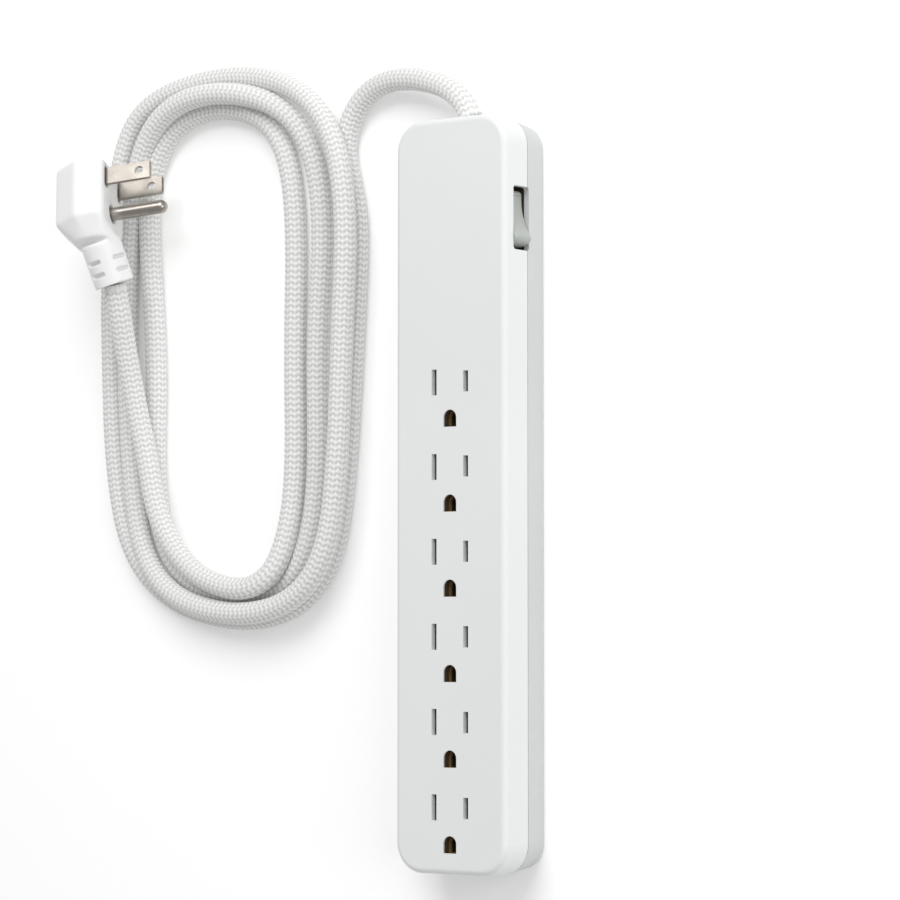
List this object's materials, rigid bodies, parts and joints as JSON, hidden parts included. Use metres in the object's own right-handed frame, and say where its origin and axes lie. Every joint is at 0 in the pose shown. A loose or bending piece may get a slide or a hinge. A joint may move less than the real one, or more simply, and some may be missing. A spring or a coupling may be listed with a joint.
{
  "type": "power strip",
  "caption": "Slim wall-mountable power strip with a row of grounded outlets, a side rocker switch and a coiled braided cord with a right-angle plug.",
  "frame": {"origin": "centre of the underside of the base", "axes": "+Z out of the outlets, +Y towards the end that the cord leaves, +X towards the side with the rocker switch"},
  "size_m": [0.1947, 0.2763, 0.0408],
  "materials": {
    "cover_plastic": "satin white moulded plastic",
    "base_plastic": "satin white moulded plastic, a touch greyer",
    "rocker_plastic": "grey moulded plastic",
    "shutter_plastic": "dark grey moulded plastic",
    "insulator": "dark brown phenolic",
    "guide_plastic": "dark brown phenolic",
    "contact_brass": "bare stamped brass",
    "spring_steel": "bright spring steel",
    "screw_steel": "zinc plated",
    "gland_plastic": "soft white plastic",
    "cord_braid": "white braid with a light grey zigzag",
    "wire_black": "black wire insulation",
    "wire_white": "white wire insulation",
    "wire_green": "green wire insulation",
    "plug_plastic": "soft white moulded plastic",
    "plug_metal": "nickel plated brass"
  },
  "bodies": {
    "casing": {"top_cover": "cover_plastic", "base_tray": "base_plastic", "cover_screws": "screw_steel", "contact_carrier": "insulator", "ground_guides": "guide_plastic", "neutral_bus": "contact_brass", "hot_bus": "contact_brass", "ground_bus": "contact_brass", "shutter_spring_1": "spring_steel", "shutter_spring_2": "spring_steel", "shutter_spring_3": "spring_steel", "shutter_spring_4": "spring_steel", "shutter_spring_5": "spring_steel", "shutter_spring_6": "spring_steel", "switch_housing": "insulator", "switch_line_terminal": "contact_brass", "switch_load_terminal": "contact_brass", "cord_gland": "gland_plastic", "inner_sheath": "cord_braid", "cord_clamp": "insulator", "clamp_screws": "screw_steel", "line_wire": "wire_black", "load_wire": "wire_black", "neutral_wire": "wire_white", "ground_wire": "wire_green", "cord_lead": "cord_braid", "cord_coil": "cord_braid", "cord_tail": "cord_braid", "plug_body": "plug_plastic", "plug_bridge": "plug_plastic", "line_blade": "plug_metal", "neutral_blade": "plug_metal", "ground_pin": "plug_metal"},
    "rocker": {"switch_rocker": "rocker_plastic", "switch_plunger": "spring_steel"},
    "contact_arm": {"switch_contact_arm": "contact_brass"},
    "shutter_1": {"shutter_1": "shutter_plastic"},
    "shutter_2": {"shutter_2": "shutter_plastic"},
    "shutter_3": {"shutter_3": "shutter_plastic"},
    "shutter_4": {"shutter_4": "shutter_plastic"},
    "shutter_5": {"shutter_5": "shutter_plastic"},
    "shutter_6": {"shutter_6": "shutter_plastic"}
  },
  "joints": [
    {"name": "rocker_swing", "type": "hinge", "parent": "casing", "child": "rocker", "pos_m": [0.0178, 0.08955, 0.01495], "axis": [0, 0, -1], "range_deg": [0, 30]},
    {"name": "contact_arm_swing", "type": "hinge", "parent": "casing", "child": "contact_arm", "pos_m": [0.0088, 0.08955, 0.01495], "axis": [0, 0, 1], "range_deg": [0, 12]},
    {"name": "shutter_1_slide", "type": "slide", "parent": "casing", "child": "shutter_1", "axis": [1, 0, 0], "range_m": [0, 0.003], "stiffness_N_per_m": 60, "springref_m": -0.003, "deforming": ["shutter_spring_1"]},
    {"name": "shutter_2_slide", "type": "slide", "parent": "casing", "child": "shutter_2", "axis": [1, 0, 0], "range_m": [0, 0.003], "stiffness_N_per_m": 60, "springref_m": -0.003, "deforming": ["shutter_spring_2"]},
    {"name": "shutter_3_slide", "type": "slide", "parent": "casing", "child": "shutter_3", "axis": [1, 0, 0], "range_m": [0, 0.003], "stiffness_N_per_m": 60, "springref_m": -0.003, "deforming": ["shutter_spring_3"]},
    {"name": "shutter_4_slide", "type": "slide", "parent": "casing", "child": "shutter_4", "axis": [1, 0, 0], "range_m": [0, 0.003], "stiffness_N_per_m": 60, "springref_m": -0.003, "deforming": ["shutter_spring_4"]},
    {"name": "shutter_5_slide", "type": "slide", "parent": "casing", "child": "shutter_5", "axis": [1, 0, 0], "range_m": [0, 0.003], "stiffness_N_per_m": 60, "springref_m": -0.003, "deforming": ["shutter_spring_5"]},
    {"name": "shutter_6_slide", "type": "slide", "parent": "casing", "child": "shutter_6", "axis": [1, 0, 0], "range_m": [0, 0.003], "stiffness_N_per_m": 60, "springref_m": -0.003, "deforming": ["shutter_spring_6"]}
  ],
  "couplings": [
    {"joint": "contact_arm_swing", "follows": "rocker_swing", "ratio": 0.4}
  ]
}
